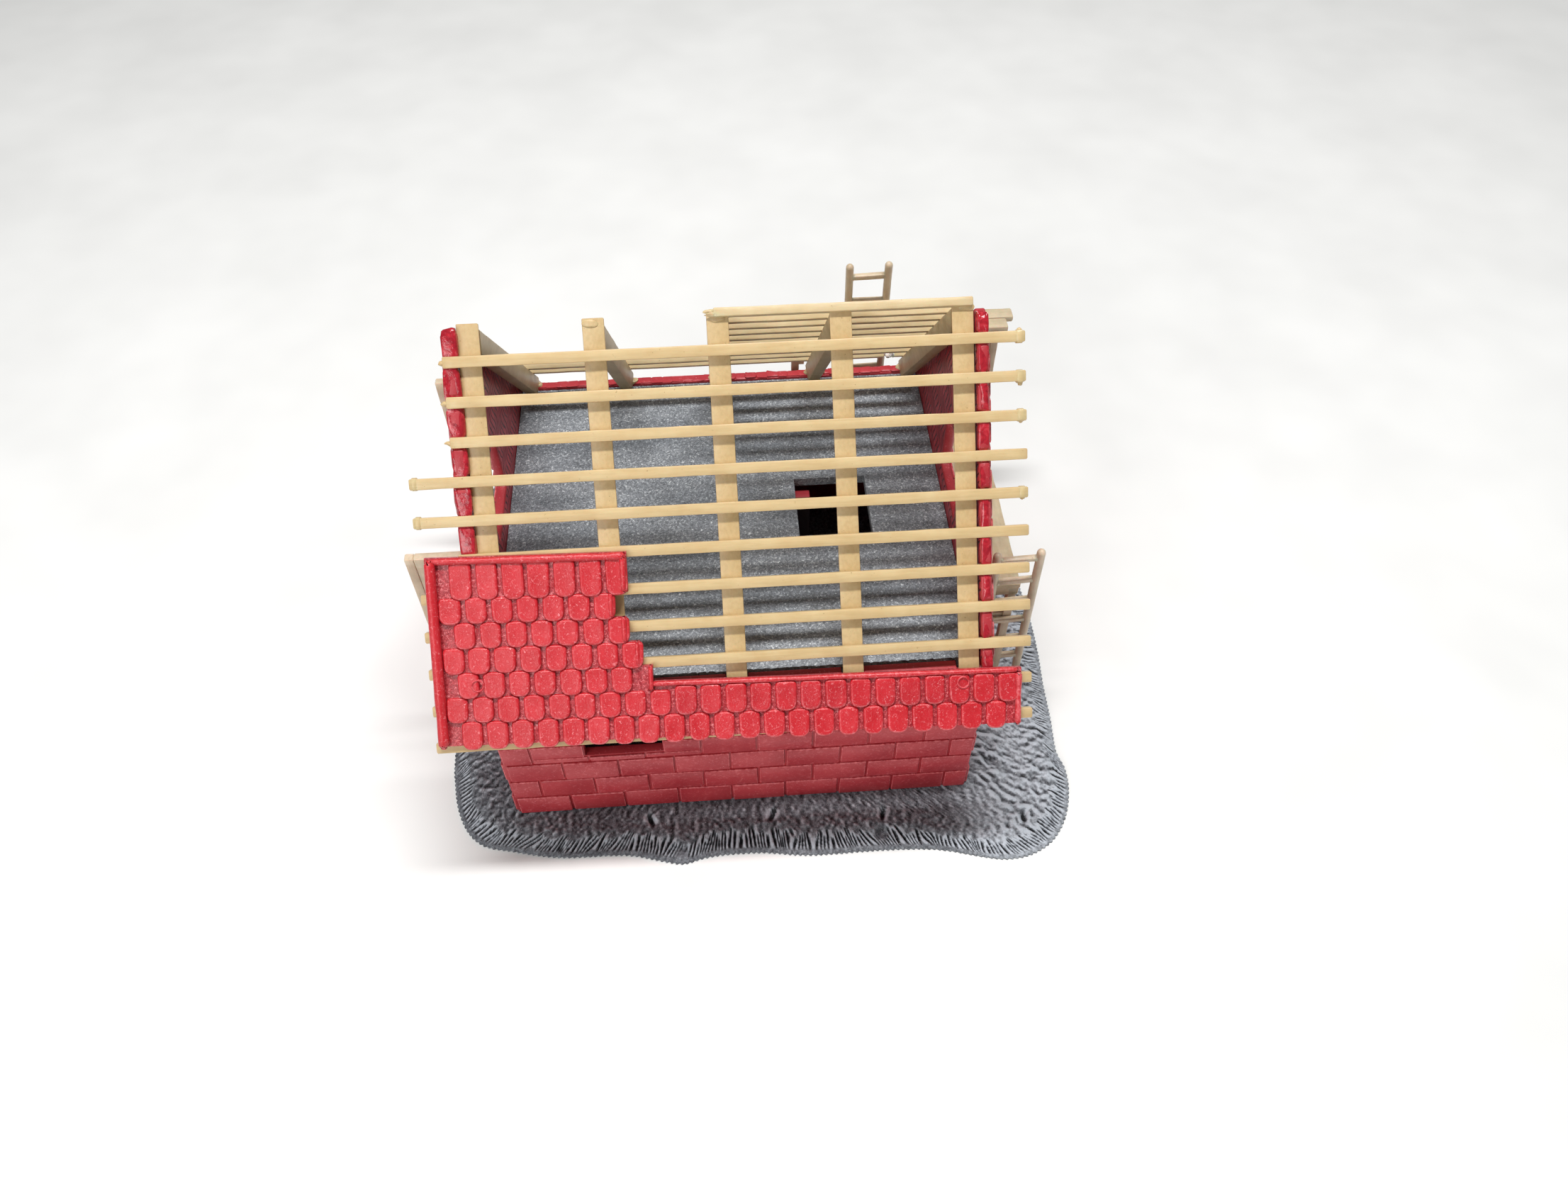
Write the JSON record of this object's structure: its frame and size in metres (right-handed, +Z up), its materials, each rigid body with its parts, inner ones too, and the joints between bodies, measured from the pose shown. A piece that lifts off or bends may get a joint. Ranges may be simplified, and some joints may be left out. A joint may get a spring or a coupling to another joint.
{
  "type": "scale model house under construction",
  "caption": "Small plastic scenery model of a brick house shell with bare rafters, roof battens, a partly tiled front slope, ladders and scaffolding on a ground plate.",
  "frame": {"origin": "on the underside of the ground plate, straight below the middle of the house", "axes": "+X along the ridge towards the gable with the ladder, +Y from the tiled front slope to the back, +Z up"},
  "size_m": [0.1062, 0.0982, 0.0774],
  "materials": {
    "ground": "moulded earth and grass texture with a dark wash",
    "brick_red": "semi-matt moulded masonry",
    "floor_grey": "grainy grey with soot-like streaks",
    "timber": "semi-matt moulded timber",
    "rear_batten": "semi-matt moulded battens",
    "scaffold": "semi-matt moulded poles and planks",
    "tile_red": "semi-gloss moulded roof tiles with frosted edges"
  },
  "bodies": {
    "root": {"ground_plate": "ground", "front_wall": "brick_red", "rear_wall": "brick_red", "left_gable": "brick_red", "right_gable": "brick_red", "inner_wall": "brick_red", "upper_floor": "floor_grey", "stair_flight": "floor_grey", "front_rafter_1": "timber", "front_rafter_2": "timber", "front_rafter_3": "timber", "front_rafter_4": "timber", "front_rafter_5": "timber", "rear_rafter_1": "timber", "rear_rafter_2": "timber", "rear_rafter_3": "timber", "rear_rafter_4": "timber", "rear_rafter_5": "timber", "batten_1": "timber", "batten_2": "timber", "batten_3": "timber", "batten_4": "timber", "batten_5": "timber", "batten_6": "timber", "batten_7": "timber", "batten_8": "timber", "batten_9": "timber", "batten_10": "timber", "batten_11": "timber", "rear_batten_1": "rear_batten", "rear_batten_2": "rear_batten", "rear_batten_3": "rear_batten", "rear_batten_4": "rear_batten", "rear_batten_5": "rear_batten", "rear_batten_6": "rear_batten", "rear_batten_7": "rear_batten", "rear_batten_8": "rear_batten", "rear_batten_9": "rear_batten", "rear_batten_10": "rear_batten", "rear_batten_10_offcut": "rear_batten", "tile_sheet": "tile_red", "side_deck_inner_plank": "scaffold", "side_deck_outer_plank": "scaffold", "side_deck_front_trestle": "scaffold", "side_deck_rear_trestle": "scaffold", "side_ladder": "scaffold", "rear_deck_near_plank": "scaffold", "rear_deck_far_plank": "scaffold", "rear_deck_ledger": "scaffold", "rear_deck_right_post": "scaffold", "rear_deck_left_post": "scaffold", "rear_ladder": "scaffold", "left_front_post": "scaffold", "left_front_bearer": "scaffold", "left_rear_post": "scaffold", "left_rear_bearer": "scaffold"}
  },
  "joints": []
}
